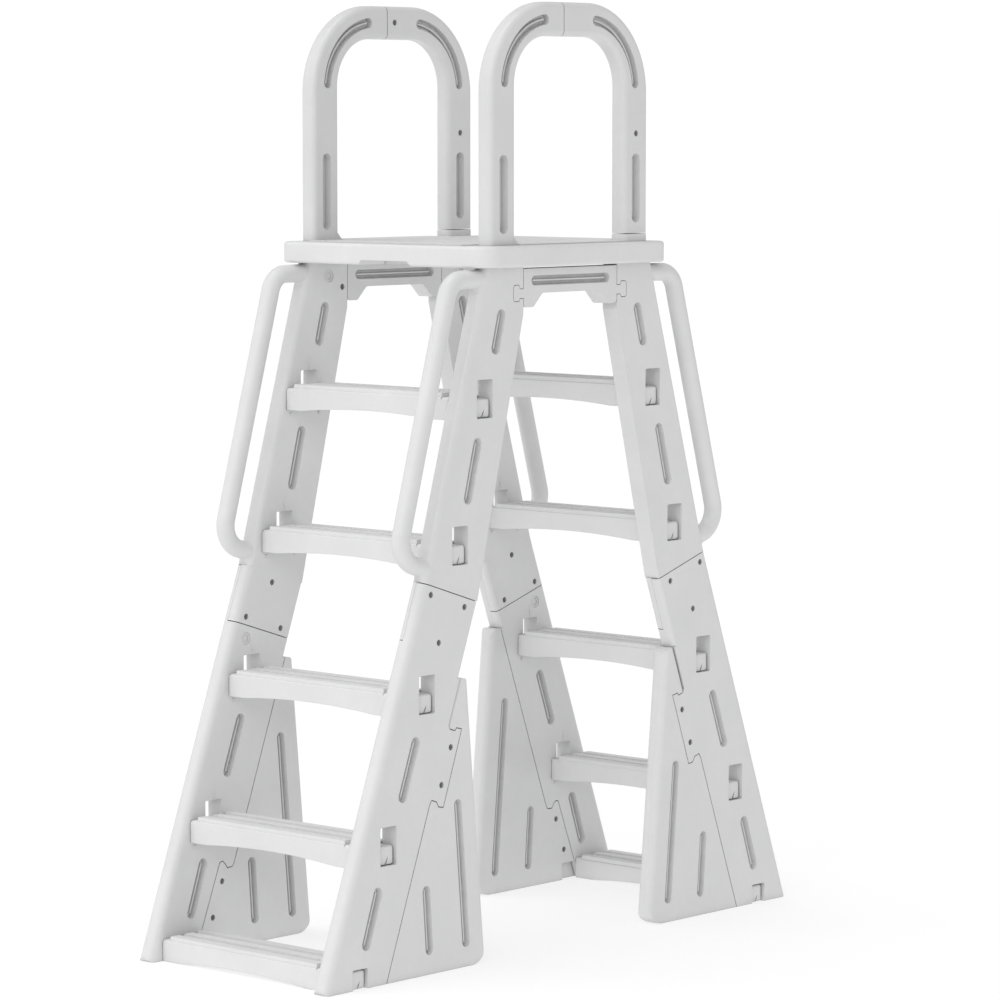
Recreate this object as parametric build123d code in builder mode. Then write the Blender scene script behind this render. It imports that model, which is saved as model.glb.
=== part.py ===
from build123d import *
import math
import os

# ---------------------------------------------------------------------------
# Above-ground pool ladder: a free-standing A-frame of blow-moulded resin parts.
# Frame: X runs across the ladder, Y along the way a bather climbs over it,
# Z up. The origin is on the ground at the centre of the footprint.
# A side profile is written as (s, z) with s the distance from the plane Y = 0;
# each side part is modelled in the +X, +Y corner and mirrored to the others.
# ---------------------------------------------------------------------------

# Rail section, across X
RAIL_OUT = 246.0
RAIL_IN = 210.0
RAIL_MID = (RAIL_OUT + RAIL_IN) / 2
THICK = RAIL_OUT - RAIL_IN
HALF_THICK = THICK / 2

# Edge rounding of the moulded rails
ROUND_FRONT = 17.4
ROUND_UPPER = 11.0
ROUND_BACK = 9.0
SEAM = 1.6

# Straight rail edges, s at ground level and how much s falls per mm of height
LOW_OUT_S0 = 670.5
LOW_OUT_SLOPE = 0.364
LOW_IN_S0 = 508.0
LOW_IN_SLOPE = 0.367
UP_OUT_S0 = 612.3
UP_OUT_SLOPE = 0.289
UP_IN_S0 = 426.4
UP_IN_SLOPE = 0.242
WING_S0 = 234.5
WING_SLOPE = -0.092

# Levels
RAIL_TOP = 1294.7
BRACE_TOP = 1291.0
BRACE_BOTTOM = 1219.0
BRACE_ARCH = 1245.0
BRACE_HALF = 133.0
BRACE_JOINT = 134.2
ARCH_HALF = 80.0
ARCH_LOW_HALF = 106.0
ARCH_ROUND = 9.0
BRACE_GROOVE_HALF = 101.8
BRACE_GROOVE_Z = 1268.5
KEY_GAP = 1.0
DOVETAIL = [
    (128.0, 1236.5),
    (143.5, 1236.5),
    (146.5, 1231.0),
    (158.0, 1231.0),
    (161.0, 1234.5),
    (161.0, 1256.5),
    (158.0, 1260.5),
    (146.5, 1260.5),
    (143.5, 1253.5),
    (128.0, 1253.5),
]
DECK_BOTTOM = 1295.0
DECK_TOP = 1335.0
WING_APEX = 541.0
BARE_FROM = 542.0
WING_FOOT_ROUND = 38.0
TOE_ROUND = 10.0
TOE_STEPS = 8
WING_TONGUE = [(540.0, 172.0), (560.0, 0.0)]
WING_APEX_ROUND = 19.0
WING_SEAM_ROUND = 8.0
ROUND_WING = 13.0
TAB_IN_FOOT = 551.5
FOOT_NOTCH_S = 524.0
FOOT_NOTCH_WIDE = 52.0
FOOT_NOTCH_HIGH = 35.0
FOOT_NOTCH_DEEP = 12.0

# Lap joint between upper and lower rail: seam heights at s = 400 (outer face)
# and s = 440 (inner face); both seams rise outwards at the same slope
LAP_SLOPE = 0.32
LAP_GAP = 0.3
LAP_OUT = (400.0, 723.0)
LAP_IN = (440.0, 621.0)

# Tread windows, top to bottom: outer edge s, inner edge s, sill height
WINDOWS = [
    (262.2, 219.2, 1018.0),
    (329.6, 286.6, 751.0),
    (419.3, 376.5, 484.0),
    (522.3, 479.9, 217.0),
]
WINDOW_HIGH = 71.5
FOOT_WINDOW = (595.5, 555.9, 0.0)
FOOT_WINDOW_HIGH = 37.5
FOOT_WINDOW_DROP = 10.0
WINDOW_RADIUS = 3.0

# Tread body
TREAD_HALF_LENGTH = 209.4
TREAD_FRONT = 39.4
TREAD_BACK = 15.6
TREAD_DROP = 2.4
TREAD_TOP = 40.0
FOOT_TREAD_TOP = 41.0
TREAD_EDGE = 2.5
TREAD_END_ROUND = 7.0
TREAD_ARCH = 8.0
TREAD_ARCH_HALF = 168.0
RIB_HIGH = 7.5
RIB_COUNT = 3
RIB_WIDE = 22.0
RIB_PITCH = 36.0
RIB_SETBACK = 2.2
RIB_STOP = 17.4
RIB_TAPER = 5.0

# Lug on each tread end
LUG_PLAY = 2.4
LUG_HIGH = 35.5
LUG_SHORT = 6.0
LUG_LIFT = 0.4
LUG_CORNER = 6.0
LUG_EDGE = 3.6
FOOT_LUG_HIGH = 33.5
CREASE = [(-5.5, 16.0), (0.5, 16.0), (4.5, 1.5)]
CREASE_DEEP = 2.5

# Recessed stiffening grooves
GROOVE_DEPTH = 12.0
GROOVE_TAPER = 10.0
GROOVE_WIDE = 11.2
GROOVE_SLIM = 10.2
GROOVE_THIN = 9.2
BEAD_RADIUS = 1.5
BEAD_HIGH = 6.5
BEAD_ROOT = 0.5
HOOP_LEG_DEPTH = 15.0
HOOP_LEG_TAPER = 5.0

# Grab loop tube
TUBE_RADIUS = 17.3
TUBE_TOP = 1274.0
TUBE_S0 = 676.5
TUBE_SLOPE = 0.2825
TUBE_START = 232.0
TUBE_CORNER = (459.0, 769.6)
TUBE_BEND = 41.0
TUBE_LOW_BEND = 48.0
TUBE_RETURN = 84.0
# Blends where the tube meets the rail: lowest z, highest z, radius
LOOP_BLENDS = [(1000.0, 1400.0, 5.8), (600.0, 1000.0, 10.0)]

# Hoop handrails
HOOP_OUT = 225.0
HOOP_IN = 154.0
HOOP_TOP = 1786.0
HOOP_UNDER = 1722.0
HOOP_BEND_OUT = 168.0
HOOP_BEND_IN = 93.0
HOOP_SPLIT = -20.0
HOOP_ROUND = 11.0
BOSS_HIGH = 14.5
BOSS_FLARE = 0.4
HOOP_GROOVE_CENTRE = (55.3, 1622.8)
HOOP_GROOVE_BEND = 131.1
HOOP_GROOVE_ANGLES = (6.0, 82.5)
HOOP_GROOVE_RADIUS = 9.6
HOOP_LEG_GROOVE_RADIUS = 11.5
HOOP_LEG_GROOVE_S = 188.5
HOOP_TOE = [(-160.0, 1352.0), (-147.5, 1338.5), (-147.5, 1335.0), (-160.0, 1335.0)]
TOE_HALF = 16.5
TONGUE_LONG = 42.0
TONGUE_ROOT = 4.0
TONGUE_WIDE = 16.0
TONGUE_HIGH = 34.0
TONGUE_PLAY = 0.5

# Deck
DECK_HALF_X = 272.0
DECK_HALF_Y = 269.0
DECK_CORNER = 43.0
DECK_EDGE = 6.0
DECK_LOWER_EDGE = 5.0
FIELD_HIGH = 2.5
FIELD_INSET = 16.0
FIELD_CORNER = 12.0
PAD_X = 233.0
PAD_Y = 204.0
PAD_WIDE = 70.0
PAD_LONG = 120.0
TREAD_LINES = 13
TREAD_LINE_PITCH = 30.0
TREAD_LINE_LONG = 350.0
TREAD_LINE_WIDE = 6.0
TREAD_LINE_DEEP = 1.5
GRIP_MID = 16.0
GRIP_HALF = 59.0
GRIP_LOW_HALF = 68.0
GRIP_HIGH = 9.0
GRIP_DEEP = 72.0

# Screws
SCREW_BORE = 5.8
SCREW_BORE_DEEP = 6.4
SCREW_HEAD = 5.0
SCREW_HEAD_HIGH = 3.4
SCREW_SHANK = 2.4
SCREW_SHANK_LONG = 16.0
SCREW_PLAY = 0.15
SCREW_ROOT = 0.5
DIMPLES = [(12.0, 1.4), (7.5, 2.8)]
NUB_RADIUS = 3.4
NUB_HIGH = 3.0
NUB_TAPER = 15.0
NUB_INSET = 10.5
NUB_DROP = 11.0
CROSS_LONG = 6.4
CROSS_WIDE = 1.5
CROSS_DEEP = 1.6

LAP_SCREWS_OUT = [(387.0, 702.5), (296.5, 672.5), (366.0, 612.5)]
LAP_SCREWS_IN = [(342.0, 688.5), (412.0, 628.5), (320.0, 598.5)]
WING_SCREWS_OUT = [(334.0, 416.0), (359.5, 348.5)]
WING_SCREWS_IN = [(479.0, 130.0), (504.0, 63.5)]
BRACE_SCREWS_IN = [(147.5, 1246.0)]
HOOP_LEG_SCREW = (189.0, 1541.0)
HOOP_TOP_SCREW = (1.0, 1755.0)

# Groove centre lines, (s, z) of both ends
LOWER_GROOVES = [((428.5, 434.0), (463.0, 339.0)), ((529.0, 169.5), (559.5, 80.0))]
UPPER_GROOVES = [((260.5, 972.0), (286.5, 873.0)), ((195.0, 1207.0), (211.0, 1146.0))]
WING_LONG_GROOVE_OUT = ((315.0, 307.0), (293.0, 47.0))
WING_LONG_GROOVE_IN = ((321.0, 388.0), (291.5, 46.0))
WING_SHORT_GROOVE = ((400.5, 156.0), (392.5, 47.0))
LEG_GROOVE_FRONT = (1368.5, 1491.0)
LEG_GROOVE_REAR = (1383.0, 1491.0)
LOWER_DIMPLE = (413.0, 587.0)
UPPER_DIMPLE = (184.0, 1268.0)

# Sizes of construction solids: trimming envelopes, half-space boxes, overlaps where solids join
ENVELOPE_DEEP = 1200.0
ENVELOPE_REACH = 2000.0
PROFILE_REACH = 900.0
SIDE_REACH = 400.0
HOOP_BOX = (300.0, 1300.0, 1900.0)
OVERLAP = 1.0

CORNERS = [
    ("right_rear", 1, 1),
    ("right_front", 1, -1),
    ("left_rear", -1, 1),
    ("left_front", -1, -1),
]

os.makedirs("parts", exist_ok=True)


def low_out(z):
    """Outer edge of the lower rail at height z."""
    return LOW_OUT_S0 - LOW_OUT_SLOPE * z


def low_in(z):
    """Inner edge of the lower rail at height z."""
    return LOW_IN_S0 - LOW_IN_SLOPE * z


def up_out(z):
    """Outer edge of the upper rail at height z."""
    return UP_OUT_S0 - UP_OUT_SLOPE * z


def up_in(z):
    """Inner edge of the upper rail at height z."""
    return UP_IN_S0 - UP_IN_SLOPE * z


def wing_in(z):
    """Free edge of the foot wing at height z."""
    return WING_S0 - WING_SLOPE * z


def lap_point(lap, s0, slope, shift=0.0):
    """Where a lap seam, moved up by shift, crosses the edge s = s0 - slope * z."""
    z = (lap[1] + shift + LAP_SLOPE * (s0 - lap[0])) / (1 + LAP_SLOPE * slope)
    return (s0 - slope * z, z)


def side(x):
    """Plane at X = x whose local axes are Y and Z."""
    return Plane.YZ.offset(x)


def edge_plane(s0, slope):
    """Plane square to a rail edge; its local y points away from the ladder's middle."""
    return Plane(origin=(RAIL_MID, s0, 0), x_dir=(1, 0, 0), z_dir=(0, -slope, 1))


def slab(points, x_from, x_to, mode=Mode.ADD):
    """Closed side profile extruded from X = x_from to X = x_to."""
    with BuildSketch(side(x_from)) as profile:
        with BuildLine():
            Polyline(*points, close=True)
        make_face()
    extrude(profile.sketch, amount=x_to - x_from, mode=mode)


def round_outer(s0, slope, radius):
    """Trim the part to a rail envelope rounded along its outer edge."""
    with BuildSketch(edge_plane(s0, slope)) as section:
        RectangleRounded(THICK, ENVELOPE_DEEP, radius, align=(Align.CENTER, Align.MAX))
    extrude(section.sketch, amount=ENVELOPE_REACH, both=True, mode=Mode.INTERSECT)


def round_inner(s0, slope, radius):
    """Trim the part to a rail envelope rounded along its inner edge."""
    with BuildSketch(edge_plane(s0, slope)) as section:
        RectangleRounded(THICK, ENVELOPE_DEEP, radius, align=(Align.CENTER, Align.MIN))
    extrude(section.sketch, amount=ENVELOPE_REACH, both=True, mode=Mode.INTERSECT)


def window(outer, inner, sill, high):
    """Tread window cut straight through the rail."""
    with BuildSketch(side(RAIL_IN - OVERLAP)) as opening:
        with Locations(((outer + inner) / 2, sill + high / 2)):
            RectangleRounded(outer - inner, high, WINDOW_RADIUS)
    extrude(opening.sketch, amount=THICK + 2 * OVERLAP, mode=Mode.SUBTRACT)


def recess(x, inward):
    """Plane on the face at x that looks inward; its local point is (inward * s, z)."""
    return Plane(origin=(x, 0, 0), x_dir=(0, inward, 0), z_dir=(inward, 0, 0))


def groove(x, inward, start, end, radius):
    """Stadium recess with sloping walls and a weld bead along its floor, from the face at x."""
    middle = (inward * (start[0] + end[0]) / 2, (start[1] + end[1]) / 2)
    tip = (inward * end[0], end[1])
    face = recess(x, inward)
    with BuildSketch(face) as stadium:
        SlotCenterPoint(middle, tip, 2 * radius)
    extrude(stadium.sketch, amount=GROOVE_DEPTH, taper=GROOVE_TAPER, mode=Mode.SUBTRACT)
    with BuildSketch(face.offset(GROOVE_DEPTH + BEAD_ROOT)) as bead:
        SlotCenterPoint(middle, tip, 2 * BEAD_RADIUS)
    extrude(bead.sketch, amount=-(BEAD_HIGH + BEAD_ROOT))


def groove_pair(start, end, radius):
    """The same groove on the outer and the inner face."""
    groove(RAIL_OUT, -1, start, end, radius)
    groove(RAIL_IN, 1, start, end, radius)


def leg_groove(facing, low, high):
    """Plain deep recess on both faces of a hoop leg."""
    for x, inward in ((RAIL_OUT, -1), (RAIL_IN, 1)):
        along = inward * facing * HOOP_LEG_GROOVE_S
        with BuildSketch(recess(x, inward)) as stadium:
            SlotCenterPoint((along, (low + high) / 2), (along, high), 2 * HOOP_LEG_GROOVE_RADIUS)
        extrude(stadium.sketch, amount=HOOP_LEG_DEPTH, taper=HOOP_LEG_TAPER, mode=Mode.SUBTRACT)


def bend_groove(x, inward, facing):
    """Curved stadium recess with a weld bead that follows the shoulder of a hoop."""
    centre = (inward * facing * HOOP_GROOVE_CENTRE[0], HOOP_GROOVE_CENTRE[1])
    first, last = HOOP_GROOVE_ANGLES
    if inward * facing < 0:
        first, last = 180 - last, 180 - first
    bend = CenterArc(centre, HOOP_GROOVE_BEND, first, last - first, mode=Mode.PRIVATE)
    face = recess(x, inward)
    with BuildSketch(face) as stadium:
        SlotArc(bend, 2 * HOOP_GROOVE_RADIUS)
    extrude(stadium.sketch, amount=GROOVE_DEPTH, mode=Mode.SUBTRACT)
    with BuildSketch(face.offset(GROOVE_DEPTH + BEAD_ROOT)) as bead:
        SlotArc(bend, 2 * BEAD_RADIUS)
    extrude(bead.sketch, amount=-(BEAD_HIGH + BEAD_ROOT))


def drill(x, inward, s, z):
    """Counterbore and pilot hole for one screw."""
    face = Plane(origin=(x, s, z), x_dir=(0, 1, 0), z_dir=(inward, 0, 0))
    with BuildSketch(face) as bore:
        Circle(SCREW_BORE)
    extrude(bore.sketch, amount=SCREW_BORE_DEEP, mode=Mode.SUBTRACT)
    with BuildSketch(face) as pilot:
        Circle(SCREW_SHANK + SCREW_PLAY)
    extrude(pilot.sketch, amount=SCREW_BORE_DEEP + SCREW_SHANK_LONG + OVERLAP, mode=Mode.SUBTRACT)


def drill_side(outer_screws, inner_screws):
    """All screw holes of a side part."""
    for s, z in outer_screws:
        drill(RAIL_OUT, -1, s, z)
    for s, z in inner_screws:
        drill(RAIL_IN, 1, s, z)


def screw(x, inward, s, z):
    """One cross-recess screw seated in its counterbore."""
    face = Plane(origin=(x, s, z), x_dir=(0, 1, 0), z_dir=(inward, 0, 0))
    seat = face.offset(SCREW_BORE_DEEP)
    with BuildSketch(seat) as head:
        Circle(SCREW_HEAD)
    extrude(head.sketch, amount=-SCREW_HEAD_HIGH)
    with BuildSketch(seat.offset(-SCREW_ROOT)) as shank:
        Circle(SCREW_SHANK)
    extrude(shank.sketch, amount=SCREW_SHANK_LONG)
    with BuildSketch(seat.offset(-SCREW_HEAD_HIGH)) as cross:
        Rectangle(CROSS_LONG, CROSS_WIDE)
        Rectangle(CROSS_WIDE, CROSS_LONG)
    extrude(cross.sketch, amount=CROSS_DEEP, mode=Mode.SUBTRACT)


def corner_screws(outer_screws, inner_screws):
    """The same screws in all four corners."""
    for _, sx, sy in CORNERS:
        for s, z in outer_screws:
            screw(sx * RAIL_OUT, -sx, sy * s, z)
        for s, z in inner_screws:
            screw(sx * RAIL_IN, sx, sy * s, z)


def dimple(s, z):
    """Shallow stepped dish left by the moulding insert on the inner face."""
    for radius, deep in DIMPLES:
        with BuildSketch(side(RAIL_IN)) as dish:
            with Locations((s, z)):
                Circle(radius)
        extrude(dish.sketch, amount=deep, mode=Mode.SUBTRACT)


def nub(s, z):
    """Small round stop on the inner face, below a tread corner."""
    with BuildSketch(side(RAIL_IN + OVERLAP)) as dot:
        with Locations((s, z)):
            Circle(NUB_RADIUS)
    extrude(dot.sketch, amount=-(NUB_HIGH + OVERLAP), taper=NUB_TAPER)


def nub_row(windows):
    """The stops below each tread."""
    for outer, inner, sill in windows:
        nub(outer + TREAD_FRONT - NUB_INSET, sill - NUB_DROP)
        nub(inner - TREAD_BACK + NUB_INSET, sill - NUB_DROP)


def to_corner(shape, sx, sy):
    """Mirror a +X, +Y shape into another corner."""
    placed = shape
    if sx < 0:
        placed = mirror(placed, about=Plane.YZ)
    if sy < 0:
        placed = mirror(placed, about=Plane.XZ)
    return placed


def save(shape, name):
    """Label a finished sub-part and write it."""
    shape.label = name
    export_step(shape, f"parts/{name}.step")


# ---------------------------------------------------------------------------
# Side profiles
# ---------------------------------------------------------------------------

# Seam between lower rail and wing on the outer face: the rail's tab reaches over the wing
TAB_OUT = [
    (low_in(457), 457.0),
    (336.0, 449.0),
    (322.0, 444.5),
    (318.5, 449.5),
    (305.5, 446.5),
    (355.0, 307.5),
    (366.5, 309.5),
    (372.5, 319.5),
    (386.0, 324.0),
    (low_in(316), 316.0),
]

# The same seam on the inner face: here the wing's tab reaches over the rail
TAB_IN = [
    (low_in(161), 161.0),
    (453.5, 155.5),
    (465.0, 155.0),
    (471.0, 163.5),
    (478.0, 169.5),
    (486.0, 167.0),
]

# Rounded toe of the rail, from the ground round to its outer edge
toe_turn = math.pi / 2 + math.atan(LOW_OUT_SLOPE)
toe_s = low_out(0) - TOE_ROUND * math.tan(toe_turn / 2)
toe_angles = [toe_turn * i / TOE_STEPS for i in range(TOE_STEPS + 1)]
FOOT = [(toe_s + TOE_ROUND * math.sin(a), TOE_ROUND * (1 - math.cos(a))) for a in toe_angles]

rail_outer_half = (
    [
        lap_point(LAP_OUT, LOW_OUT_S0, LOW_OUT_SLOPE),
        lap_point(LAP_OUT, LOW_IN_S0, LOW_IN_SLOPE),
    ]
    + TAB_OUT
    + [(low_in(0), 0.0)]
    + FOOT
)
rail_inner_half = (
    [
        lap_point(LAP_IN, LOW_OUT_S0, LOW_OUT_SLOPE),
        lap_point(LAP_IN, LOW_IN_S0, LOW_IN_SLOPE),
    ]
    + TAB_IN
    + [(TAB_IN_FOOT, 0.0)]
    + FOOT
)
bare_part = [(0, BARE_FROM), (PROFILE_REACH, BARE_FROM), (PROFILE_REACH, PROFILE_REACH), (0, PROFILE_REACH)]
winged_part = [(0, 0), (PROFILE_REACH, 0), (PROFILE_REACH, BARE_FROM), (0, BARE_FROM)]

# ---------------------------------------------------------------------------
# Lower rail
# ---------------------------------------------------------------------------

with BuildPart() as rail_crown:
    slab(rail_outer_half, RAIL_MID, RAIL_OUT)
    slab(rail_inner_half, RAIL_IN, RAIL_MID)
    slab(bare_part, 0, SIDE_REACH, Mode.INTERSECT)
    round_outer(LOW_OUT_S0, LOW_OUT_SLOPE, ROUND_FRONT)
    round_inner(LOW_IN_S0, LOW_IN_SLOPE, ROUND_BACK)

with BuildPart() as lower_rail:
    slab(rail_outer_half, RAIL_MID, RAIL_OUT)
    slab(rail_inner_half, RAIL_IN, RAIL_MID)
    slab(winged_part, 0, SIDE_REACH, Mode.INTERSECT)
    round_outer(LOW_OUT_S0, LOW_OUT_SLOPE, ROUND_FRONT)
    add(rail_crown.part)
    nub_row(WINDOWS[2:])
    for outer, inner, sill in WINDOWS[2:]:
        window(outer, inner, sill, WINDOW_HIGH)
    window(FOOT_WINDOW[0], FOOT_WINDOW[1], -FOOT_WINDOW_DROP, FOOT_WINDOW_HIGH + FOOT_WINDOW_DROP)
    for start, end in LOWER_GROOVES:
        groove_pair(start, end, GROOVE_WIDE)
    drill_side(LAP_SCREWS_OUT + WING_SCREWS_OUT, LAP_SCREWS_IN + WING_SCREWS_IN)
    dimple(*LOWER_DIMPLE)

# ---------------------------------------------------------------------------
# Upper rail with its grab loop
# ---------------------------------------------------------------------------

upper_seam_out = lap_point(LAP_OUT, UP_OUT_S0, UP_OUT_SLOPE, SEAM)
upper_seam_in = lap_point(LAP_OUT, UP_IN_S0, UP_IN_SLOPE, SEAM)
upper_profile = [
    (BRACE_JOINT, RAIL_TOP),
    (BRACE_JOINT, (UP_IN_S0 - BRACE_JOINT) / UP_IN_SLOPE),
    upper_seam_in,
    upper_seam_out,
    (up_out(RAIL_TOP), RAIL_TOP),
]
tongue_profile = [
    lap_point(LAP_OUT, LOW_OUT_S0, LOW_OUT_SLOPE, SEAM),
    lap_point(LAP_OUT, LOW_IN_S0, LOW_IN_SLOPE, SEAM),
    lap_point(LAP_IN, LOW_IN_S0, LOW_IN_SLOPE, SEAM),
    lap_point(LAP_IN, LOW_OUT_S0, LOW_OUT_SLOPE, SEAM),
]
tube_turn = (TUBE_S0 - TUBE_SLOPE * TUBE_TOP, TUBE_TOP)
tube_middle = ((tube_turn[0] + TUBE_CORNER[0]) / 2, (tube_turn[1] + TUBE_CORNER[1]) / 2)
tube_inward = Vector(-1, -TUBE_SLOPE).normalized()
tube_end = (TUBE_CORNER[0] + TUBE_RETURN * tube_inward.X, TUBE_CORNER[1] + TUBE_RETURN * tube_inward.Y)

with BuildPart() as lap_tongue:
    slab(tongue_profile, RAIL_IN, RAIL_MID - LAP_GAP)
    round_outer(LOW_OUT_S0, LOW_OUT_SLOPE, ROUND_FRONT)
    round_inner(LOW_IN_S0, LOW_IN_SLOPE, ROUND_BACK)

with BuildPart() as grab_loop:
    with BuildLine(side(RAIL_MID)) as loop_path:
        FilletPolyline((TUBE_START, TUBE_TOP), tube_turn, tube_middle, radius=TUBE_BEND)
        FilletPolyline(tube_middle, TUBE_CORNER, tube_end, radius=TUBE_LOW_BEND)
    with BuildSketch(Plane(origin=(RAIL_MID, TUBE_START, TUBE_TOP), z_dir=(0, 1, 0))):
        Circle(TUBE_RADIUS)
    sweep(path=loop_path.line)

with BuildPart() as upper_rail:
    slab(upper_profile, RAIL_IN, RAIL_OUT)
    round_outer(UP_OUT_S0, UP_OUT_SLOPE, ROUND_UPPER)
    add(grab_loop.part)
    for low, high, blend in LOOP_BLENDS:
        junction = upper_rail.edges().filter_by(GeomType.BSPLINE)
        fillet(junction.filter_by_position(Axis.Z, low, high), blend)
    add(lap_tongue.part)
    nub_row(WINDOWS[:2])
    for outer, inner, sill in WINDOWS[:2]:
        window(outer, inner, sill, WINDOW_HIGH)
    for start, end in UPPER_GROOVES:
        groove_pair(start, end, GROOVE_WIDE)
    drill_side(LAP_SCREWS_OUT, LAP_SCREWS_IN + BRACE_SCREWS_IN)
    dimple(*UPPER_DIMPLE)
    with BuildSketch(side(RAIL_MID)) as key_pocket:
        with BuildLine():
            Polyline(*DOVETAIL, close=True)
        make_face()
        offset(amount=KEY_GAP)
    extrude(key_pocket.sketch, amount=HALF_THICK + 1, mode=Mode.SUBTRACT)

# ---------------------------------------------------------------------------
# Foot wing
# ---------------------------------------------------------------------------


def wing_half(reach, rail_half, x_from, x_to):
    """Half thickness of the wing: its outline less the rail and the seam gap."""
    with BuildSketch(side(x_from)) as outline:
        with BuildLine():
            Polyline((wing_in(0), 0), (wing_in(WING_APEX), WING_APEX), *reach, close=True)
        make_face()
        corners = outline.vertices().sort_by(Axis.X)
        fillet(corners[0], WING_FOOT_ROUND)
        fillet(outline.vertices().sort_by(Axis.Y)[-2:].sort_by(Axis.X)[0], WING_APEX_ROUND)
    with BuildSketch(side(x_from)) as rail_edge:
        with BuildLine():
            Polyline(*rail_half, close=True)
        make_face()
        offset(amount=SEAM)
    extrude(outline.sketch - rail_edge.sketch, amount=x_to - x_from)


with BuildPart() as wing:
    wing_half(
        [(low_in(WING_APEX), WING_APEX), (low_in(0), 0)],
        rail_outer_half, RAIL_MID, RAIL_OUT,
    )
    wing_half(
        [(low_in(WING_APEX), WING_APEX), (low_in(WING_TONGUE[0][1]), WING_TONGUE[0][1])] + WING_TONGUE,
        rail_inner_half, RAIL_IN, RAIL_MID,
    )
    seam_edges = wing.edges().filter_by_position(Axis.X, RAIL_OUT - 0.1, RAIL_OUT + 0.1)
    apex_seam = seam_edges.filter_by_position(Axis.Z, TAB_OUT[0][1], WING_APEX).sort_by(Axis.Y)[-1]
    fillet(apex_seam, WING_SEAM_ROUND)
    round_inner(WING_S0, WING_SLOPE, ROUND_WING)
    groove(RAIL_OUT, -1, *WING_LONG_GROOVE_OUT, GROOVE_SLIM)
    groove(RAIL_IN, 1, *WING_LONG_GROOVE_IN, GROOVE_SLIM)
    groove_pair(*WING_SHORT_GROOVE, GROOVE_SLIM)
    drill_side(WING_SCREWS_OUT, WING_SCREWS_IN)
    with BuildSketch(side(RAIL_IN)) as foot_notch:
        with Locations((FOOT_NOTCH_S, 0)):
            RectangleRounded(FOOT_NOTCH_WIDE, 2 * FOOT_NOTCH_HIGH, WINDOW_RADIUS)
    extrude(foot_notch.sketch, amount=FOOT_NOTCH_DEEP, mode=Mode.SUBTRACT)

# ---------------------------------------------------------------------------
# Brace that ties the front and rear rails under the deck
# ---------------------------------------------------------------------------

with BuildPart() as brace:
    with BuildSketch(side(RAIL_IN)) as brace_face:
        with BuildLine():
            Polyline(
                (-BRACE_HALF, BRACE_TOP), (BRACE_HALF, BRACE_TOP),
                (BRACE_HALF, BRACE_BOTTOM), (ARCH_LOW_HALF, BRACE_BOTTOM),
                (ARCH_HALF, BRACE_ARCH), (-ARCH_HALF, BRACE_ARCH),
                (-ARCH_LOW_HALF, BRACE_BOTTOM), (-BRACE_HALF, BRACE_BOTTOM),
                close=True,
            )
        make_face()
        fillet(brace_face.vertices().filter_by_position(Axis.Y, 0, BRACE_ARCH + 1), ARCH_ROUND)
    extrude(brace_face.sketch, amount=THICK)
    for facing in (1, -1):
        slab([(facing * s, z) for s, z in DOVETAIL], RAIL_MID + LAP_GAP, RAIL_OUT)
    groove_pair((-BRACE_GROOVE_HALF, BRACE_GROOVE_Z), (BRACE_GROOVE_HALF, BRACE_GROOVE_Z), GROOVE_THIN)
    drill_side([], BRACE_SCREWS_IN)
    drill_side([], [(-s, z) for s, z in BRACE_SCREWS_IN])

# ---------------------------------------------------------------------------
# Hoop handrail, made as a front and a rear half
# ---------------------------------------------------------------------------

with BuildPart() as hoop:
    with BuildSketch(side(RAIL_IN)) as hoop_face:
        with BuildLine():
            outer_top = HOOP_TOP - HOOP_BEND_OUT
            inner_top = HOOP_UNDER - HOOP_BEND_IN
            outer_c = HOOP_OUT - HOOP_BEND_OUT
            inner_c = HOOP_IN - HOOP_BEND_IN
            Line((HOOP_OUT, DECK_TOP), (HOOP_OUT, outer_top))
            CenterArc((outer_c, outer_top), HOOP_BEND_OUT, 0, 90)
            Line((outer_c, HOOP_TOP), (-outer_c, HOOP_TOP))
            CenterArc((-outer_c, outer_top), HOOP_BEND_OUT, 90, 90)
            Line((-HOOP_OUT, outer_top), (-HOOP_OUT, DECK_TOP))
            Line((-HOOP_OUT, DECK_TOP), (-HOOP_IN, DECK_TOP))
            Line((-HOOP_IN, DECK_TOP), (-HOOP_IN, inner_top))
            CenterArc((-inner_c, inner_top), HOOP_BEND_IN, 180, -90)
            Line((-inner_c, HOOP_UNDER), (inner_c, HOOP_UNDER))
            CenterArc((inner_c, inner_top), HOOP_BEND_IN, 90, -90)
            Line((HOOP_IN, inner_top), (HOOP_IN, DECK_TOP))
            Line((HOOP_IN, DECK_TOP), (HOOP_OUT, DECK_TOP))
        make_face()
    extrude(hoop_face.sketch, amount=THICK)
    face_edges = hoop.edges().filter_by_position(Axis.X, RAIL_IN - 0.1, RAIL_IN + 0.1)
    face_edges += hoop.edges().filter_by_position(Axis.X, RAIL_OUT - 0.1, RAIL_OUT + 0.1)
    fillet(face_edges.filter_by_position(Axis.Z, DECK_TOP + 1, HOOP_TOP + 1), HOOP_ROUND)
    for facing in (1, -1):
        bend_groove(RAIL_OUT, -1, facing)
        bend_groove(RAIL_IN, 1, facing)

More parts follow.
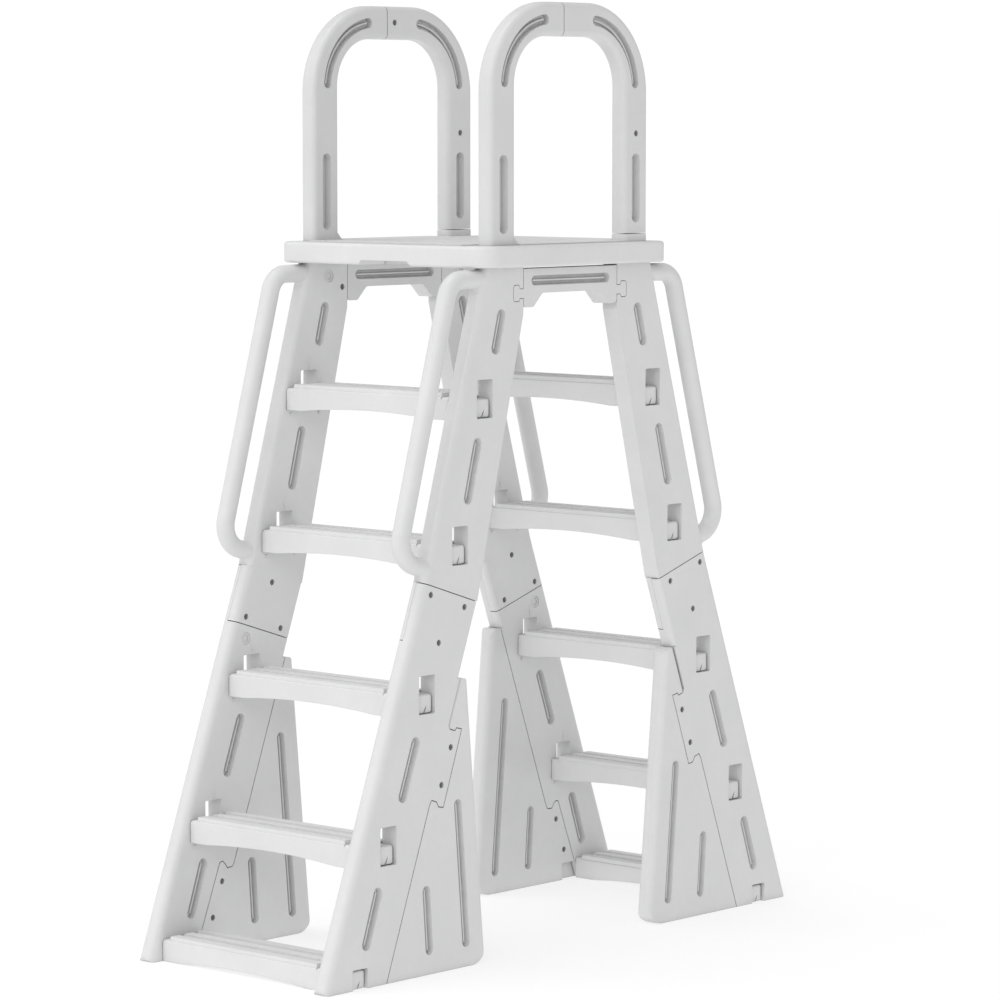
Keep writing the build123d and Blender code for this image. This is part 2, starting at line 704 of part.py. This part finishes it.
tongue_low = (HOOP_TOP + HOOP_UNDER - TONGUE_HIGH) / 2
tongue_box = [
    (HOOP_SPLIT - TONGUE_ROOT, tongue_low),
    (HOOP_SPLIT + TONGUE_LONG, tongue_low),
    (HOOP_SPLIT + TONGUE_LONG, tongue_low + TONGUE_HIGH),
    (HOOP_SPLIT - TONGUE_ROOT, tongue_low + TONGUE_HIGH),
]
socket_end = HOOP_SPLIT + TONGUE_LONG + TONGUE_PLAY
socket_box = [
    (HOOP_SPLIT - TONGUE_ROOT, tongue_low - TONGUE_PLAY),
    (socket_end, tongue_low - TONGUE_PLAY),
    (socket_end, tongue_low + TONGUE_HIGH + TONGUE_PLAY),
    (HOOP_SPLIT - TONGUE_ROOT, tongue_low + TONGUE_HIGH + TONGUE_PLAY),
]
leg_top = DECK_TOP + BOSS_HIGH + SEAM
box_s, box_low, box_high = HOOP_BOX


def hoop_side(s_from, s_to, top):
    """Rectangle, in profile, that takes away one side of the whole hoop."""
    return [(s_from, box_low), (s_to, box_low), (s_to, top), (s_from, top)]


with BuildPart() as hoop_front:
    add(hoop.part)
    leg_groove(-1, *LEG_GROOVE_FRONT)
    slab(hoop_side(HOOP_SPLIT - SEAM / 2, box_s, box_high), 0, SIDE_REACH, Mode.SUBTRACT)
    slab(tongue_box, RAIL_MID - TONGUE_WIDE / 2, RAIL_MID + TONGUE_WIDE / 2)
    slab(HOOP_TOE, RAIL_MID - TOE_HALF, RAIL_MID + TOE_HALF)
    drill(RAIL_IN, 1, *HOOP_TOP_SCREW)

with BuildPart() as hoop_rear:
    add(hoop.part)
    leg_groove(1, *LEG_GROOVE_REAR)
    slab(hoop_side(HOOP_SPLIT + SEAM / 2, -box_s, box_high), 0, SIDE_REACH, Mode.SUBTRACT)
    slab(hoop_side(-box_s, box_s, leg_top), 0, SIDE_REACH, Mode.SUBTRACT)
    slab(socket_box, RAIL_MID - TONGUE_WIDE / 2 - TONGUE_PLAY,
         RAIL_MID + TONGUE_WIDE / 2 + TONGUE_PLAY, Mode.SUBTRACT)
    drill(RAIL_IN, 1, *HOOP_TOP_SCREW)

# ---------------------------------------------------------------------------
# Deck
# ---------------------------------------------------------------------------

leg_mid = (HOOP_OUT + HOOP_IN) / 2
leg_wide = HOOP_OUT - HOOP_IN

with BuildPart() as platform_deck:
    with BuildSketch(Plane.XY.offset(DECK_BOTTOM)):
        RectangleRounded(2 * DECK_HALF_X, 2 * DECK_HALF_Y, DECK_CORNER)
    extrude(amount=DECK_TOP - DECK_BOTTOM)
    fillet(platform_deck.faces().sort_by(Axis.Z)[-1].edges(), DECK_EDGE)
    fillet(platform_deck.faces().sort_by(Axis.Z)[0].edges(), DECK_LOWER_EDGE)
    with BuildSketch(Plane.XY.offset(DECK_TOP)):
        RectangleRounded(2 * (DECK_HALF_X - FIELD_INSET), 2 * (DECK_HALF_Y - FIELD_INSET), FIELD_CORNER)
        with GridLocations(2 * PAD_X, 2 * PAD_Y, 2, 2):
            Rectangle(PAD_WIDE, PAD_LONG, mode=Mode.SUBTRACT)
    extrude(amount=FIELD_HIGH)
    with BuildSketch(Plane.XY.offset(DECK_TOP + FIELD_HIGH)):
        with GridLocations(0, TREAD_LINE_PITCH, 1, TREAD_LINES):
            SlotOverall(TREAD_LINE_LONG, TREAD_LINE_WIDE)
    extrude(amount=-TREAD_LINE_DEEP, mode=Mode.SUBTRACT)
    with BuildSketch(Plane.XY.offset(DECK_TOP - 1)):
        with Locations((RAIL_MID, leg_mid), (-RAIL_MID, leg_mid)):
            RectangleRounded(THICK + 2 * BOSS_FLARE, leg_wide + 2 * BOSS_FLARE, HOOP_ROUND)
    extrude(amount=BOSS_HIGH + 1)
    for facing in (1, -1):
        middle = facing * GRIP_MID
        with BuildSketch(Plane.XZ.offset(facing * (DECK_HALF_Y + 1))) as grip_notch:
            with BuildLine():
                Polyline(
                    (middle - GRIP_LOW_HALF, DECK_BOTTOM - 1),
                    (middle + GRIP_LOW_HALF, DECK_BOTTOM - 1),
                    (middle + GRIP_HALF, DECK_BOTTOM + GRIP_HIGH),
                    (middle - GRIP_HALF, DECK_BOTTOM + GRIP_HIGH),
                    close=True,
                )
            make_face()
        extrude(grip_notch.sketch, amount=-facing * GRIP_DEEP, mode=Mode.SUBTRACT)

# ---------------------------------------------------------------------------
# Treads
# ---------------------------------------------------------------------------


def tread(outer, inner, sill, top, drop, lug_high):
    """One tread of the +Y ladder with its ribs and end lugs."""
    s_out = outer + TREAD_FRONT
    s_in = inner - TREAD_BACK
    low = sill - drop
    with BuildPart() as body:
        with BuildSketch(Plane.XZ.offset(-s_in)):
            with BuildLine():
                Line((-TREAD_ARCH_HALF, low), (-TREAD_HALF_LENGTH, low))
                Line((-TREAD_HALF_LENGTH, low), (-TREAD_HALF_LENGTH, sill + top))
                Line((-TREAD_HALF_LENGTH, sill + top), (TREAD_HALF_LENGTH, sill + top))
                Line((TREAD_HALF_LENGTH, sill + top), (TREAD_HALF_LENGTH, low))
                Line((TREAD_HALF_LENGTH, low), (TREAD_ARCH_HALF, low))
                ThreePointArc((TREAD_ARCH_HALF, low), (0, low + TREAD_ARCH), (-TREAD_ARCH_HALF, low))
            make_face()
        extrude(amount=-(s_out - s_in))
        long_edges = body.edges().filter_by(Axis.X)
        fillet(long_edges.filter_by_position(Axis.Z, sill + top - 1, sill + top + 1), TREAD_EDGE)
        for i in range(RIB_COUNT):
            middle = s_out - RIB_SETBACK - RIB_WIDE / 2 - i * RIB_PITCH
            with BuildSketch(Plane(origin=(0, middle, sill + top - 0.5))) as rib:
                Rectangle(2 * (TREAD_HALF_LENGTH - RIB_STOP), RIB_WIDE)
            extrude(rib.sketch, amount=RIB_HIGH + 0.5, taper=RIB_TAPER)
        middle = (outer + inner) / 2
        wide = outer - inner - LUG_PLAY * 2
        for way in (1, -1):
            with BuildSketch(side(way * (TREAD_HALF_LENGTH - RIB_STOP))) as end_corner:
                with Locations((s_out - TREAD_END_ROUND, sill + top - TREAD_END_ROUND)):
                    Rectangle(TREAD_END_ROUND + 1, TREAD_END_ROUND + 1, align=(Align.MIN, Align.MIN))
                    Circle(TREAD_END_ROUND, mode=Mode.SUBTRACT)
            extrude(end_corner.sketch, amount=way * (RIB_STOP + 1), mode=Mode.SUBTRACT)
        for way in (1, -1):
            with BuildSketch(side(way * (TREAD_HALF_LENGTH - 1))) as lug:
                with Locations((middle, sill + LUG_LIFT + lug_high / 2)):
                    RectangleRounded(wide, lug_high, LUG_CORNER)
            extrude(lug.sketch, amount=way * (RAIL_OUT - LUG_SHORT - TREAD_HALF_LENGTH + 1))
        for way in (1, -1):
            tip = body.faces().filter_by(Axis.X).sort_by(Axis.X)[-1 if way > 0 else 0]
            fillet(tip.edges(), LUG_EDGE)
            crease = Plane(origin=(way * (RAIL_OUT - LUG_SHORT), middle, sill + lug_high / 2),
                           x_dir=(0, 1, 0), z_dir=(-way, 0, 0))
            with BuildSketch(crease) as mark:
                with BuildLine():
                    Polyline(*[(way * u, way * v) for u, v in CREASE], close=True)
                make_face()
            extrude(mark.sketch, amount=CREASE_DEEP, mode=Mode.SUBTRACT)
    return body.part


# ---------------------------------------------------------------------------
# Write every sub-part
# ---------------------------------------------------------------------------

for corner, sx, sy in CORNERS:
    save(to_corner(lower_rail.part, sx, sy), f"lower_rail_{corner}")
    save(to_corner(upper_rail.part, sx, sy), f"upper_rail_{corner}")
    save(to_corner(wing.part, sx, sy), f"foot_wing_{corner}")

save(to_corner(brace.part, 1, 1), "top_brace_right")
save(to_corner(brace.part, -1, 1), "top_brace_left")

for name, half in (("front", hoop_front), ("rear", hoop_rear)):
    for sx, side_name in ((1, "right"), (-1, "left")):
        with BuildPart() as placed_half:
            add(to_corner(half.part, sx, 1))
            if name == "rear":
                leg_face = RAIL_OUT if sx > 0 else -RAIL_IN
                drill(leg_face, -1, *HOOP_LEG_SCREW)
        save(placed_half.part, f"hoop_{side_name}_{name}")

save(platform_deck.part, "platform_deck")

for level, (outer, inner, sill) in enumerate(WINDOWS):
    step = tread(outer, inner, sill, TREAD_TOP, TREAD_DROP, LUG_HIGH)
    save(to_corner(step, 1, 1), f"tread_rear_{level + 1}")
    save(to_corner(step, -1, -1), f"tread_front_{level + 1}")

foot_step = tread(*FOOT_WINDOW, FOOT_TREAD_TOP, 0.0, FOOT_LUG_HIGH)
save(to_corner(foot_step, 1, 1), "tread_rear_5")
save(to_corner(foot_step, -1, -1), "tread_front_5")

with BuildPart() as lap_screws:
    corner_screws(LAP_SCREWS_OUT, LAP_SCREWS_IN)
save(lap_screws.part, "lap_screws")

with BuildPart() as wing_screws:
    corner_screws(WING_SCREWS_OUT, WING_SCREWS_IN)
save(wing_screws.part, "wing_screws")

with BuildPart() as brace_screws:
    corner_screws([], BRACE_SCREWS_IN)
save(brace_screws.part, "brace_screws")

with BuildPart() as hoop_screws:
    screw(RAIL_IN, 1, *HOOP_TOP_SCREW)
    screw(-RAIL_IN, -1, *HOOP_TOP_SCREW)
    screw(RAIL_OUT, -1, *HOOP_LEG_SCREW)
    screw(-RAIL_IN, -1, *HOOP_LEG_SCREW)
save(hoop_screws.part, "hoop_screws")
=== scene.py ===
import math

import bmesh
import bpy
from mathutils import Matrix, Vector


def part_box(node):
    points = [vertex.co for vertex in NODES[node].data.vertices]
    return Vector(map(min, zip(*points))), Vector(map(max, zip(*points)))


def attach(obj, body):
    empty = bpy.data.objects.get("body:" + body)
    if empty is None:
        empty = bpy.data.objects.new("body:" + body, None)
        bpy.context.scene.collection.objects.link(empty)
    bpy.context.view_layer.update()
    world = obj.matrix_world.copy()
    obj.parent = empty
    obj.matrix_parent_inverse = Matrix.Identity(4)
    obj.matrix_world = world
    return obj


# Pool ladder. Metres, in the frame of the CAD model: X runs across the ladder, Y along the way a
# bather climbs over it, with the front ladder on the -Y side, and Z up from the ground.

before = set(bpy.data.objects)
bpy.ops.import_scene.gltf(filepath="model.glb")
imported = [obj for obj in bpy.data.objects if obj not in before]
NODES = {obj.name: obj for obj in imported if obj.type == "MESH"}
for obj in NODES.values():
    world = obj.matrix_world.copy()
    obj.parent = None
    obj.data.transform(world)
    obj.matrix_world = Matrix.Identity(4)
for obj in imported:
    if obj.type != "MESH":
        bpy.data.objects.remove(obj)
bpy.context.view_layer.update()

# ---------------------------------------------------------------------------
# Camera, floor and light
# ---------------------------------------------------------------------------

# Angles in degrees: azimuth from the front towards +X, elevation above the ground
AZIMUTH = 42.07
ELEVATION = 5.175
DISTANCE = 8.06
LENS = 151.1
SENSOR_WIDE = 36.0
VIEW_END = 200.0
LOOK_AT = Vector((0.0652, 0.0013, 0.8396))

SKY_LIGHT = 0.55
BACKDROP = 1.02

# Soft lights: degrees from the ladder's front towards its left, height in degrees, strength
LIGHTS = {
    "left": (60, 30, 0.21),
    "front": (0, 30, 0.45),
    "near_camera": (-35, 30, 0.42),
    "top": (45, 75, 0.75),
}
LIGHT_SOFTNESS = math.radians(35)

FLOOR_HALF = 60.0
FLOOR_GREY = 0.40
FLOOR_GLOW = 0.64


def away(azimuth, elevation):
    """Unit vector at an azimuth from the front towards +X and a height, both in degrees."""
    turn = math.radians(azimuth)
    rise = math.radians(elevation)
    return Vector((math.sin(turn) * math.cos(rise), -math.cos(turn) * math.cos(rise), math.sin(rise)))


def make_camera():
    """Camera in front of the ladder, to its right, looking a little down."""
    back = away(AZIMUTH, ELEVATION)
    data = bpy.data.cameras.new("camera")
    data.lens = LENS
    data.sensor_width = SENSOR_WIDE
    data.clip_end = VIEW_END
    camera = bpy.data.objects.new("camera", data)
    camera.location = LOOK_AT + back * DISTANCE
    camera.rotation_euler = (-back).to_track_quat("-Z", "Y").to_euler()
    bpy.context.scene.collection.objects.link(camera)
    bpy.context.scene.camera = camera


def make_world():
    """Even white surroundings, a little dimmer as light than as a backdrop."""
    bpy.context.scene.view_settings.view_transform = "Standard"
    world = bpy.data.worlds.new("studio")
    world.use_nodes = True
    bpy.context.scene.world = world
    tree = world.node_tree
    sky = tree.nodes["Background"]
    sky.inputs["Color"].default_value = (1.0, 1.0, 1.0, 1.0)
    ray = tree.nodes.new("ShaderNodeLightPath")
    level = tree.nodes.new("ShaderNodeMapRange")
    level.inputs["To Min"].default_value = SKY_LIGHT
    level.inputs["To Max"].default_value = BACKDROP
    tree.links.new(ray.outputs["Is Camera Ray"], level.inputs["Value"])
    tree.links.new(level.outputs["Result"], sky.inputs["Strength"])


def make_lights():
    """Broad soft lights in front of the ladder and above it."""
    for name, (leftwards, height, strength) in LIGHTS.items():
        data = bpy.data.lights.new(name, "SUN")
        data.energy = strength
        data.angle = LIGHT_SOFTNESS
        light = bpy.data.objects.new(name, data)
        light.rotation_euler = away(-leftwards, height).to_track_quat("Z", "Y").to_euler()
        bpy.context.scene.collection.objects.link(light)


def make_floor():
    """Plain pale floor, lit mostly from within so that it keeps only soft faint shadows."""
    mesh = bpy.data.meshes.new("floor")
    signs = ((-1, -1), (1, -1), (1, 1), (-1, 1))
    mesh.from_pydata([(x * FLOOR_HALF, y * FLOOR_HALF, 0.0) for x, y in signs], [], [(0, 1, 2, 3)])
    floor = bpy.data.objects.new("floor", mesh)
    bpy.context.scene.collection.objects.link(floor)
    pale = bpy.data.materials.new("floor")
    pale.use_nodes = True
    skin = pale.node_tree.nodes["Principled BSDF"]
    skin.inputs["Base Color"].default_value = (FLOOR_GREY, FLOOR_GREY, FLOOR_GREY, 1.0)
    skin.inputs["Roughness"].default_value = 1.0
    skin.inputs["Specular IOR Level"].default_value = 0.0
    skin.inputs["Emission Color"].default_value = (1.0, 1.0, 1.0, 1.0)
    skin.inputs["Emission Strength"].default_value = FLOOR_GLOW
    mesh.materials.append(pale)


# ---------------------------------------------------------------------------
# Material helpers
# ---------------------------------------------------------------------------

SHELTER_SAMPLES = 4
BEVEL_SAMPLES = 4

# A noise pattern's values lie mostly between these
MIDRANGE = (0.3, 0.7)


def grey(level, warmth=0.0):
    """Neutral colour, a little warmer for a positive warmth and cooler for a negative one."""
    return (level * (1.0 + warmth), level, level * (1.0 - warmth), 1.0)


class Graph:
    """Adds and joins the shader nodes of one material."""

    def __init__(self, name):
        self.material = bpy.data.materials.new(name)
        self.material.use_nodes = True
        self.tree = self.material.node_tree
        self.skin = self.tree.nodes["Principled BSDF"]
        self.place = self.add("ShaderNodeTexCoord").outputs["Object"]
        self.surface = self.add("ShaderNodeNewGeometry").outputs["Normal"]

    def add(self, kind, **settings):
        node = self.tree.nodes.new(kind)
        for key, value in settings.items():
            setattr(node, key, value)
        return node

    def feed(self, socket, value):
        """Join a socket to an output, or give it a plain value."""
        if isinstance(value, bpy.types.NodeSocket):
            self.tree.links.new(value, socket)
        else:
            socket.default_value = value

    def stretched(self, x, y, z):
        """Object coordinates scaled differently along each axis."""
        node = self.add("ShaderNodeMapping")
        self.feed(node.inputs["Vector"], self.place)
        node.inputs["Scale"].default_value = (x, y, z)
        return node.outputs["Vector"]

    def noise(self, size, detail=2.0, rough=0.5, place=None):
        """Cloudy pattern whose features are about size metres across."""
        node = self.add("ShaderNodeTexNoise")
        self.feed(node.inputs["Vector"], place or self.place)
        node.inputs["Scale"].default_value = 1.0 / size
        node.inputs["Detail"].default_value = detail
        node.inputs["Roughness"].default_value = rough
        return node.outputs["Fac"]

    def cells(self, size):
        """Soft pebbled pattern whose cells are about size metres across."""
        node = self.add("ShaderNodeTexVoronoi", feature="SMOOTH_F1")
        self.feed(node.inputs["Vector"], self.place)
        node.inputs["Scale"].default_value = 1.0 / size
        return node.outputs["Distance"]

    def span(self, value, low, high, to_low=0.0, to_high=1.0):
        """Map a value from low..high to to_low..to_high, clamped."""
        node = self.add("ShaderNodeMapRange")
        self.feed(node.inputs["Value"], value)
        node.inputs["From Min"].default_value = low
        node.inputs["From Max"].default_value = high
        node.inputs["To Min"].default_value = to_low
        node.inputs["To Max"].default_value = to_high
        return node.outputs["Result"]

    def maths(self, operation, first, second):
        node = self.add("ShaderNodeMath", operation=operation)
        self.feed(node.inputs[0], first)
        self.feed(node.inputs[1], second)
        return node.outputs[0]

    def blend(self, amount, first, second):
        """Mix two colours by amount."""
        node = self.add("ShaderNodeMix", data_type="RGBA")
        self.feed(node.inputs[0], amount)
        self.feed(node.inputs[6], first)
        self.feed(node.inputs[7], second)
        return node.outputs[2]

    def bump(self, height, distance, normal):
        """Relief of a height pattern that is distance metres from low to high."""
        node = self.add("ShaderNodeBump")
        self.feed(node.inputs["Height"], height)
        node.inputs["Distance"].default_value = distance
        self.feed(node.inputs["Normal"], normal)
        return node.outputs["Normal"]

    def sheltered(self, reach, open_level, shut_level):
        """How far a point is shut in by what stands within reach metres of it."""
        node = self.add("ShaderNodeAmbientOcclusion", samples=SHELTER_SAMPLES)
        node.inputs["Distance"].default_value = reach
        return self.span(node.outputs["AO"], open_level, shut_level)

    def rounded(self, radius):
        """Surface normal with every sharp edge rounded over radius metres."""
        node = self.add("ShaderNodeBevel", samples=BEVEL_SAMPLES)
        node.inputs["Radius"].default_value = radius
        return node.outputs["Normal"]

    def near_edge(self, soft_normal, flat_level, edge_level):
        """How far the rounded normal turns away from the face, which it does beside an edge."""
        facing = self.add("ShaderNodeVectorMath", operation="DOT_PRODUCT")
        self.feed(facing.inputs[0], soft_normal)
        self.feed(facing.inputs[1], self.surface)
        return self.span(facing.outputs["Value"], flat_level, edge_level)

    def upward(self, level_from, level_to):
        """How far a face looks up."""
        split = self.add("ShaderNodeSeparateXYZ")
        self.feed(split.inputs[0], self.surface)
        return self.span(split.outputs["Z"], level_from, level_to)


# ---------------------------------------------------------------------------
# Moulded resin
# ---------------------------------------------------------------------------

EDGE_RADIUS = 0.0012
EDGE_LEVELS = (0.995, 0.86)
CAVITY_REACH = 0.014
CAVITY_LEVELS = (0.95, 0.25)
CREVICE_REACH = 0.0035
CREVICE_LEVELS = (0.80, 0.15)

# Sizes of the patterns
CLOUD = 0.11
MOTTLE = 0.018
STREAK = 0.009
STREAK_LONG = 0.08
SCUFF = 0.006
SCUFF_STRETCH = (0.35, 0.35, 1.6)
SCUFF_LEVELS = (0.62, 0.74)
GRAIN = 0.0007
ORANGE_PEEL = 0.006
WAVE = 0.07
PEBBLE = 0.0032
PEBBLE_LEVELS = (0.75, 0.95)

# Depths of the reliefs
ORANGE_PEEL_DEEP = 0.00012
STREAK_DEEP = 0.00006
WAVE_DEEP = 0.0009

# Brightness of each mark against the resin's own tone, and how strongly it shows
DULL = 0.965
PALE = 1.02
MOTTLED = 0.955
MOTTLED_MIX = 0.35
SCUFFED = 0.84
SCUFFED_MIX = 0.22
# Dust with painted shade: corners darkened by occlusion, mottled like dust
DUST_AND_SHADE = 0.62
DUST_AND_SHADE_MIX = 0.55
DUST_AND_SHADE_WARMTH = 0.008
SHADED = 0.32
SHADED_MIX = 0.8
SHADED_WARMTH = 0.01
# Painted highlight: edges lighter in colour; their lower roughness below is real polish from wear
PAINTED_EDGE_HIGHLIGHT = 1.1
PAINTED_EDGE_HIGHLIGHT_MIX = 0.35
BRIGHTEST = 0.92

# How much each mark changes the roughness
GLOSS_SPREAD = 0.05
SCUFFED_ROUGH = 0.14
DUSTY_ROUGH = 0.25
POLISHED_SMOOTH = 0.10

RESIN_IOR = 1.5


def resin(name, tone, warmth, gloss, grain, pebble=0.0):
    """White moulded polyethylene: fine grain, orange peel, flow streaks, dust with painted shade in the
    corners, painted shade in crevices, painted highlight along edges.
    """
    g = Graph(name)
    soft_normal = g.rounded(EDGE_RADIUS)
    edge = g.near_edge(soft_normal, *EDGE_LEVELS)
    corner = g.sheltered(CAVITY_REACH, *CAVITY_LEVELS)
    crevice = g.sheltered(CREVICE_REACH, *CREVICE_LEVELS)

    cloud = g.noise(CLOUD, 4.0, 0.55)
    mottle = g.noise(MOTTLE, 3.0)
    streak = g.noise(STREAK, 3.0, 0.6, g.stretched(1.0, 1.0, STREAK_LONG))
    scuff = g.span(g.noise(SCUFF, 4.0, 0.7, g.stretched(*SCUFF_STRETCH)), *SCUFF_LEVELS)
    # Occlusion in corners times a mottle: painted shade in the corners, mixed with dust
    dust_and_shade = g.maths("MULTIPLY", corner, g.span(mottle, 0.25, 0.75, 0.45, 1.0))

    colour = g.blend(g.span(cloud, *MIDRANGE), grey(tone * DULL, warmth), grey(tone * PALE, warmth * 0.4))
    colour = g.blend(g.span(mottle, 0.35, 0.7, 0.0, MOTTLED_MIX), colour, grey(tone * MOTTLED, warmth))
    colour = g.blend(g.maths("MULTIPLY", scuff, SCUFFED_MIX), colour, grey(tone * SCUFFED, warmth))
    # Painted shade and dust: corners darker where occlusion is
    colour = g.blend(g.maths("MULTIPLY", dust_and_shade, DUST_AND_SHADE_MIX), colour, grey(tone * DUST_AND_SHADE, DUST_AND_SHADE_WARMTH))
    colour = g.blend(g.maths("MULTIPLY", crevice, SHADED_MIX), colour, grey(tone * SHADED, SHADED_WARMTH))
    # Painted highlight along every edge
    colour = g.blend(g.maths("MULTIPLY", edge, PAINTED_EDGE_HIGHLIGHT_MIX), colour, grey(min(BRIGHTEST, tone * PAINTED_EDGE_HIGHLIGHT)))
    g.feed(g.skin.inputs["Base Color"], colour)

    rough = g.span(cloud, *MIDRANGE, gloss - GLOSS_SPREAD, gloss + GLOSS_SPREAD)
    rough = g.maths("ADD", rough, g.span(streak, *MIDRANGE, -GLOSS_SPREAD, GLOSS_SPREAD))
    rough = g.maths("ADD", rough, g.maths("MULTIPLY", scuff, SCUFFED_ROUGH))
    # Dust also makes the corners rougher
    rough = g.maths("ADD", rough, g.maths("MULTIPLY", dust_and_shade, DUSTY_ROUGH))
    # Edges smoother: real polish from wear
    rough = g.maths("SUBTRACT", rough, g.maths("MULTIPLY", edge, POLISHED_SMOOTH))
    g.feed(g.skin.inputs["Roughness"], rough)

    normal = g.bump(g.noise(GRAIN), grain, soft_normal)
    normal = g.bump(g.noise(ORANGE_PEEL, 1.0), ORANGE_PEEL_DEEP, normal)
    normal = g.bump(streak, STREAK_DEEP, normal)
    normal = g.bump(g.noise(WAVE, 1.0), WAVE_DEEP, normal)
    if pebble:
        pebbles = g.maths("MULTIPLY", g.cells(PEBBLE), g.upward(*PEBBLE_LEVELS))
        normal = g.bump(pebbles, pebble, normal)
    g.feed(g.skin.inputs["Normal"], normal)
    g.skin.inputs["IOR"].default_value = RESIN_IOR
    return g.material


# ---------------------------------------------------------------------------
# Screw steel
# ---------------------------------------------------------------------------

STEEL_EDGE_RADIUS = 0.0004
STEEL_EDGE_LEVELS = (0.99, 0.8)
STEEL_CLOUD = 0.004
SPECK = 0.0008
SPECK_DEEP = 0.00004
RUST_LEVELS = (0.66, 0.74)
RUST_MIX = 0.6
RUST = (0.16, 0.07, 0.035, 1.0)
STEEL_ROUGH = (0.34, 0.58)
STEEL_METALLIC = 0.55


def dark_steel():
    """Darkened screw steel with bright worn edges and a slight rust bloom."""
    g = Graph("dark_steel")
    soft_normal = g.rounded(STEEL_EDGE_RADIUS)
    edge = g.near_edge(soft_normal, *STEEL_EDGE_LEVELS)
    cloud = g.noise(STEEL_CLOUD, 3.0)
    speck = g.noise(SPECK, 3.0, 0.7)
    worn = g.maths("MULTIPLY", edge, g.span(speck, 0.35, 0.6))
    colour = g.blend(g.span(cloud, *MIDRANGE), grey(0.20), grey(0.30, 0.02))
    colour = g.blend(worn, colour, grey(0.50, 0.02))
    colour = g.blend(g.span(speck, *RUST_LEVELS, 0.0, RUST_MIX), colour, RUST)
    g.feed(g.skin.inputs["Base Color"], colour)
    g.feed(g.skin.inputs["Roughness"], g.span(speck, *MIDRANGE, *STEEL_ROUGH))
    g.feed(g.skin.inputs["Normal"], g.bump(speck, SPECK_DEEP, soft_normal))
    g.skin.inputs["Metallic"].default_value = STEEL_METALLIC
    return g.material


def dress_frame():
    """Give every CAD node its finish, and return the rails' finish for the added ticks."""
    rail = resin("rail_resin_moulded", 0.74, -0.002, 0.42, 0.00003)
    hoop = resin("hoop_resin_moulded", 0.71, -0.002, 0.38, 0.000025)
    deck = resin("deck_resin_moulded", 0.76, -0.001, 0.46, 0.00004, pebble=0.0002)
    tread = resin("tread_resin_moulded", 0.75, -0.001, 0.46, 0.00004, pebble=0.00006)
    steel = dark_steel()
    finishes = (("screws", steel), ("tread_", tread), ("platform_deck", deck), ("hoop_", hoop), ("", rail))
    for name, part in NODES.items():
        finish = next(material for key, material in finishes if key in name)
        for held in part.material_slots:
            held.material = finish
    return rail


# ---------------------------------------------------------------------------
# Guide ticks above the tread windows
# ---------------------------------------------------------------------------

TICK_ABOVE = 0.003
TICK_HIGH = 0.023
TICK_HALF_WIDE = 0.0019
TICK_NARROW = 0.55
TICK_PROUD = 0.0013
TICK_SINK = 0.0004
TICK_END = 0.04
TICK_FULLNESS = 0.35
KNOB_PROUD = 0.0009
KNOB_AT = 0.4
KNOB_SPREAD = 0.09
TICK_ROWS = 18
TICK_COLUMNS = 8

# A window's top edge above the underside of its tread, and its middle behind the tread's nose
WINDOW_TOP = 0.0739
WINDOW_BACK = 0.0609

# How far the stops below the treads stand out of the rail's inner face
NUB_PROUD = 0.003

MOVING_TREADS = range(1, 5)
CORNERS = {
    "right_rear": (1, 1),
    "right_front": (1, -1),
    "left_rear": (-1, 1),
    "left_front": (-1, -1),
}


def tick_rows(x, way, y, low):
    """Rows of points over one guide tick: a slim ridge with a small knob on it."""
    rows = []
    for i in range(TICK_ROWS + 1):
        t = i / TICK_ROWS
        swell = math.sin(math.pi * (TICK_END + (1.0 - 2.0 * TICK_END) * t)) ** TICK_FULLNESS
        proud = TICK_PROUD * swell + KNOB_PROUD * math.exp(-((t - KNOB_AT) / KNOB_SPREAD) ** 2)
        wide = TICK_HALF_WIDE * (TICK_NARROW + (1.0 - TICK_NARROW) * swell)
        row = []
        for j in range(TICK_COLUMNS + 1):
            turn = math.pi * j / TICK_COLUMNS
            reach = proud * math.sin(turn) - (TICK_SINK if j in (0, TICK_COLUMNS) else 0.0)
            row.append((x + way * reach, y - wide * math.cos(turn), low + TICK_HIGH * t))
        rows.append(row)
    return rows


def add_tick(shape, rows):
    """Close the rows of one tick into a solid."""
    grid = [[shape.verts.new(point) for point in row] for row in rows]
    for lower, upper in zip(grid, grid[1:]):
        for j in range(TICK_COLUMNS):
            shape.faces.new((lower[j], lower[j + 1], upper[j + 1], upper[j]))
        shape.faces.new((lower[-1], lower[0], upper[0], upper[-1]))
    shape.faces.new(grid[0])
    shape.faces.new(grid[-1])


def guide_ticks(corner, material):
    """The guide tick above each tread window on the inner face of one rail."""
    sx, sy = CORNERS[corner]
    ladder = corner.split("_")[1]
    rail_low, rail_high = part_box(f"upper_rail_{corner}")
    inner_face = rail_low.x + NUB_PROUD if sx > 0 else rail_high.x - NUB_PROUD
    shape = bmesh.new()
    for level in MOVING_TREADS:
        low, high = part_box(f"tread_{ladder}_{level}")
        nose = high.y if sy > 0 else low.y
        add_tick(shape, tick_rows(inner_face, -sx, nose - sy * WINDOW_BACK, low.z + WINDOW_TOP + TICK_ABOVE))
    bmesh.ops.recalc_face_normals(shape, faces=shape.faces)
    mesh = bpy.data.meshes.new(f"guide_ticks_{corner}")
    shape.to_mesh(mesh)
    shape.free()
    for face in mesh.polygons:
        face.use_smooth = True
    mesh.materials.append(material)
    ticks = bpy.data.objects.new(mesh.name, mesh)
    bpy.context.scene.collection.objects.link(ticks)
    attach(ticks, "frame")


make_camera()
make_world()
make_lights()
make_floor()
rail_finish = dress_frame()
for corner in CORNERS:
    guide_ticks(corner, rail_finish)
